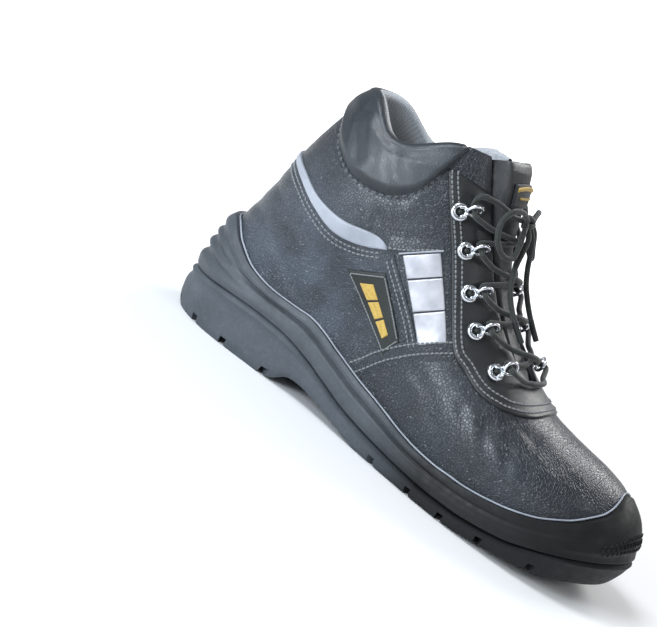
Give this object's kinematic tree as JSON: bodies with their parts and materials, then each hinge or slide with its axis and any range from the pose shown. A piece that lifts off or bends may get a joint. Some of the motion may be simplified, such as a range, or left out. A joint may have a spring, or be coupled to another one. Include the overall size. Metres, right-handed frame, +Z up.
{
  "type": "lace-up ankle safety boot",
  "caption": "Right ankle-height safety boot: black leather upper with padded collar, reflective patch, steel lace rings and a cup sole with a raised heel and toe guard.",
  "frame": {"origin": "on the floor under the middle of the heel's tread", "axes": "+X to the toe, +Y to the inner side of the foot, +Z up"},
  "size_m": [0.3048, 0.1143, 0.178],
  "materials": {
    "outsole_rubber": "matt moulded black-grey rubber",
    "midsole_rubber": "satin moulded dark grey polyurethane",
    "lining": "grey mesh cloth",
    "leather": "black grained leather, satin",
    "tongue_cloth": "soft black padded leather",
    "label": "dark woven label",
    "facing_leather": "smooth black leather",
    "grey_trim": "smooth light grey leather",
    "badge": "dark rubber patch with a grey border",
    "reflective": "silver reflective cloth",
    "lace": "black woven round lace",
    "steel": "polished steel"
  },
  "bodies": {
    "root": {"outsole": "outsole_rubber", "midsole": "midsole_rubber", "insole": "lining", "upper": "leather", "tongue": "tongue_cloth", "tongue_label": "label", "eyestay": "facing_leather", "ankle_strip": "grey_trim", "side_badge": "badge", "reflective_patch_outer": "reflective", "reflective_patch_inner": "reflective", "lace_crossings": "lace", "lace_knot": "lace", "lace_loop_outer": "lace", "lace_loop_inner": "lace", "lace_end_outer": "lace", "lace_end_inner": "lace", "lace_ring_outer_1": "steel", "lace_ring_outer_2": "steel", "lace_ring_outer_3": "steel", "lace_ring_outer_4": "steel", "lace_ring_outer_5": "steel", "lace_ring_inner_1": "steel", "lace_ring_inner_2": "steel", "lace_ring_inner_3": "steel", "lace_ring_inner_4": "steel", "lace_ring_inner_5": "steel"}
  },
  "joints": []
}
